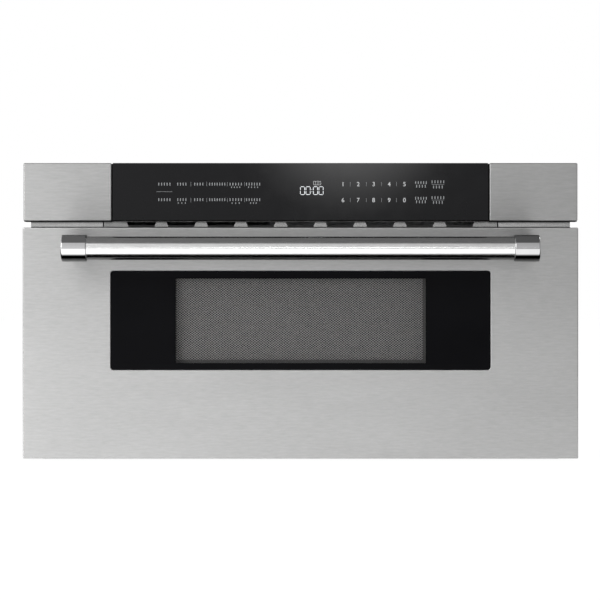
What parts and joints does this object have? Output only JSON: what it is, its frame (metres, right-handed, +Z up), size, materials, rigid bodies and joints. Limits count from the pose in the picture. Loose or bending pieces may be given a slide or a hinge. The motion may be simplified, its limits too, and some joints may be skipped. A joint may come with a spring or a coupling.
{
  "type": "microwave drawer",
  "caption": "Built-in microwave oven whose food tray slides out as a drawer behind a stainless front with a bar handle, under a black glass control row.",
  "frame": {"origin": "bottom centre of the whole unit's box, on the surface that the chassis stands on", "axes": "+X to the right as seen from the room, +Y back into the cabinet, +Z up; the drawer opens along -Y"},
  "size_m": [0.761, 0.668, 0.4079],
  "materials": {
    "stainless_steel": "fine horizontal brushing",
    "handle_steel": "fine brushing round the bar",
    "chrome": "polished",
    "galvanised_steel": "galvanised sheet with a faint spangle",
    "zinc_plated_steel": "zinc plated",
    "enamelled_steel": "grey oven enamel",
    "black_glass": "polished black-backed glass",
    "window_glass": "polished glass with a black printed border",
    "black_plastic": "fine moulded texture",
    "ceramic": "smooth glass ceramic",
    "nylon": "natural moulded nylon",
    "mica": "pressed mica sheet",
    "circuit_board": "green solder mask",
    "laminated_iron": "varnished laminations",
    "aluminium": "plain mill finish"
  },
  "bodies": {
    "chassis": {"base_pan": "galvanised_steel", "top_cover": "galvanised_steel", "left_side_panel": "galvanised_steel", "right_side_panel": "galvanised_steel", "rear_panel": "galvanised_steel", "cord_gland": "black_plastic", "front_frame": "stainless_steel", "vent_grille": "stainless_steel", "control_glass": "black_glass", "left_end_panel": "stainless_steel", "right_end_panel": "stainless_steel", "control_housing": "black_plastic", "control_board": "circuit_board", "display_module": "black_plastic", "cavity_floor": "enamelled_steel", "cavity_left": "enamelled_steel", "cavity_right": "enamelled_steel", "cavity_back": "enamelled_steel", "cavity_top": "enamelled_steel", "stirrer_cover": "mica", "stirrer_housing": "enamelled_steel", "stirrer_motor": "zinc_plated_steel", "waveguide": "aluminium", "magnetron": "zinc_plated_steel", "fan_shroud": "zinc_plated_steel", "fan_motor": "zinc_plated_steel", "hv_transformer": "laminated_iron", "hv_capacitor": "aluminium", "power_board": "circuit_board", "cavity_lamp": "nylon", "drive_motor": "zinc_plated_steel", "gear_bracket": "zinc_plated_steel", "outer_slide_left": "zinc_plated_steel", "outer_slide_right": "zinc_plated_steel", "interlock_switch_left": "black_plastic", "interlock_switch_right": "black_plastic"},
    "drawer": {"drawer_front_panel": "stainless_steel", "window_glass": "window_glass", "drawer_screen": "enamelled_steel", "inner_door_panel": "zinc_plated_steel", "choke_cover": "black_plastic", "tray_floor": "enamelled_steel", "tray_left_wall": "enamelled_steel", "tray_right_wall": "enamelled_steel", "tray_back_wall": "enamelled_steel", "ceramic_base_plate": "ceramic", "handle_bar": "handle_steel", "handle_post_left": "chrome", "handle_post_right": "chrome", "drive_rack": "nylon", "inner_slide_left": "zinc_plated_steel", "inner_slide_right": "zinc_plated_steel"},
    "middle_slide_left": {"middle_slide_left": "zinc_plated_steel"},
    "middle_slide_right": {"middle_slide_right": "zinc_plated_steel"},
    "drive_gear": {"drive_gear": "nylon"},
    "motor_pinion": {"motor_pinion": "nylon"},
    "stirrer": {"stirrer": "aluminium"},
    "cooling_fan": {"cooling_fan": "nylon"},
    "interlock_plunger_left": {"interlock_plunger_left": "nylon"},
    "interlock_plunger_right": {"interlock_plunger_right": "nylon"}
  },
  "joints": [
    {"name": "drawer_slide", "type": "slide", "parent": "chassis", "child": "drawer", "axis": [0, -1, 0], "range_m": [0, 0.38]},
    {"name": "middle_slide_left_run", "type": "slide", "parent": "chassis", "child": "middle_slide_left", "axis": [0, -1, 0], "range_m": [0, 0.19]},
    {"name": "middle_slide_right_run", "type": "slide", "parent": "chassis", "child": "middle_slide_right", "axis": [0, -1, 0], "range_m": [0, 0.19]},
    {"name": "drive_gear_spin", "type": "hinge", "parent": "chassis", "child": "drive_gear", "pos_m": [0.015, -0.193, 0.028], "axis": [0, 0, 1], "range_deg": [0, 1452]},
    {"name": "motor_pinion_spin", "type": "hinge", "parent": "chassis", "child": "motor_pinion", "pos_m": [0.043, -0.193, 0.0165], "axis": [0, 0, 1], "range_deg": [-4356, 0]},
    {"name": "stirrer_spin", "type": "hinge", "parent": "chassis", "child": "stirrer", "pos_m": [0, -0.0141, 0.295], "axis": [0, 0, 1], "continuous": true},
    {"name": "cooling_fan_spin", "type": "hinge", "parent": "chassis", "child": "cooling_fan", "pos_m": [0.286, 0.082, 0.236], "axis": [0, 1, 0], "continuous": true},
    {"name": "interlock_plunger_left_press", "type": "slide", "parent": "chassis", "child": "interlock_plunger_left", "axis": [0, 1, 0], "range_m": [0, 0.0015], "stiffness_N_per_m": 400, "springref_m": -0.003},
    {"name": "interlock_plunger_right_press", "type": "slide", "parent": "chassis", "child": "interlock_plunger_right", "axis": [0, 1, 0], "range_m": [0, 0.0015], "stiffness_N_per_m": 400, "springref_m": -0.003}
  ],
  "couplings": [
    {"joint": "middle_slide_left_run", "follows": "drawer_slide", "ratio": 0.5},
    {"joint": "middle_slide_right_run", "follows": "drawer_slide", "ratio": 0.5},
    {"joint": "drive_gear_spin", "follows": "drawer_slide", "rad_per_m": 66.667},
    {"joint": "motor_pinion_spin", "follows": "drawer_slide", "rad_per_m": -200}
  ]
}
